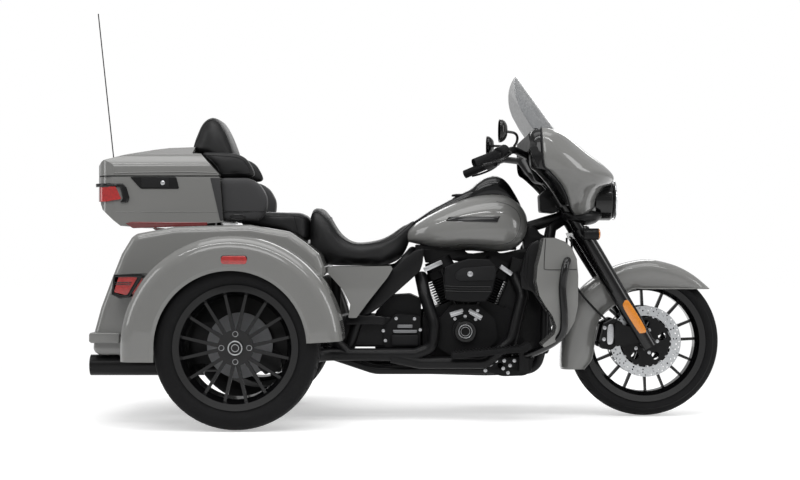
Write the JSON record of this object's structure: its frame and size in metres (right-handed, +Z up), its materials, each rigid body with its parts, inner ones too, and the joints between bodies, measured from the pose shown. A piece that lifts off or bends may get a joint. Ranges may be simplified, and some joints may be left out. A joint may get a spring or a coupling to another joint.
{
  "type": "motorized trike",
  "caption": "Touring trike with a raked front wheel, two driven rear wheels, an air-cooled V-twin, a fork-mounted fairing, a trunk and a lidded touring case.",
  "frame": {"origin": "on the ground, halfway along the length, on the centre plane", "axes": "+X forward, +Y to the rider's left, +Z up"},
  "size_m": [2.7018, 1.3898, 1.7553],
  "materials": {
    "body_paint": "gloss grey",
    "satin_black": "satin black",
    "gloss_black": "gloss black",
    "engine_black": "wrinkle black",
    "tyre": "matt",
    "grip_rubber": "ribbed",
    "seat_vinyl": "grained",
    "brake_steel": "ground",
    "disc_grey": "ground",
    "caliper_grey": "satin",
    "windshield": "smoked",
    "red_lens": "gloss red"
  },
  "bodies": {
    "chassis": {"frame": "satin_black", "rear_axle_housing": "satin_black", "crankcase": "engine_black", "cylinder_front": "engine_black", "cylinder_rear": "engine_black", "transmission": "engine_black", "primary_cover": "engine_black", "air_cleaner": "engine_black", "exhaust_headers": "satin_black", "muffler_right": "satin_black", "muffler_left": "satin_black", "fuel_tank": "body_paint", "tank_console": "satin_black", "seat_rider": "seat_vinyl", "seat_passenger": "seat_vinyl", "rear_body": "body_paint", "fender_right": "body_paint", "fender_left": "body_paint", "side_covers": "body_paint", "rear_bumper": "satin_black", "body_lamps": "red_lens", "plate_holder": "satin_black", "rear_calipers": "caliper_grey", "tour_base": "body_paint", "backrest": "seat_vinyl", "speaker_pods": "body_paint", "arm_pads": "seat_vinyl", "tour_lamps": "red_lens", "antenna": "satin_black", "lower_fairings": "body_paint", "engine_guard": "gloss_black", "footboards": "satin_black"},
    "steering": {"fork": "gloss_black", "front_calipers": "caliper_grey", "front_fender": "body_paint", "fairing_outer": "body_paint", "fairing_inner": "satin_black", "windshield": "windshield", "headlamp": "gloss_black", "handlebar": "satin_black", "grips": "grip_rubber", "mirrors": "satin_black", "front_signals": "satin_black"},
    "front_wheel": {"front_tyre": "tyre", "front_rim": "gloss_black", "front_discs": "brake_steel"},
    "rear_wheel_right": {"rear_tyre_right": "tyre", "rear_rim_right": "gloss_black", "rear_disc_right": "disc_grey"},
    "rear_wheel_left": {"rear_tyre_left": "tyre", "rear_rim_left": "gloss_black", "rear_disc_left": "disc_grey"},
    "tour_lid": {"tour_lid": "body_paint"},
    "trunk_door": {"trunk_door": "body_paint"}
  },
  "joints": [
    {"name": "steering_hinge", "type": "hinge", "parent": "chassis", "child": "steering", "pos_m": [0.70387, 0, 0.845], "axis": [-0.4384, 0, 0.8988], "range_deg": [-36, 36]},
    {"name": "front_wheel_spin", "type": "hinge", "parent": "steering", "child": "front_wheel", "pos_m": [1.016, 0, 0.3193], "axis": [0, 1, 0], "continuous": true},
    {"name": "rear_wheel_right_spin", "type": "hinge", "parent": "chassis", "child": "rear_wheel_right", "pos_m": [-0.664, -0.5525, 0.3253], "axis": [0, 1, 0], "continuous": true},
    {"name": "rear_wheel_left_spin", "type": "hinge", "parent": "chassis", "child": "rear_wheel_left", "pos_m": [-0.664, 0.5525, 0.3253], "axis": [0, 1, 0], "continuous": true},
    {"name": "tour_lid_hinge", "type": "hinge", "parent": "chassis", "child": "tour_lid", "pos_m": [-1, 0.305, 1.0095], "axis": [-1, 0, 0], "range_deg": [0, 80]},
    {"name": "trunk_door_hinge", "type": "hinge", "parent": "chassis", "child": "trunk_door", "pos_m": [-1.13, 0, 0.73], "axis": [0, 1, 0], "range_deg": [0, 65]}
  ]
}
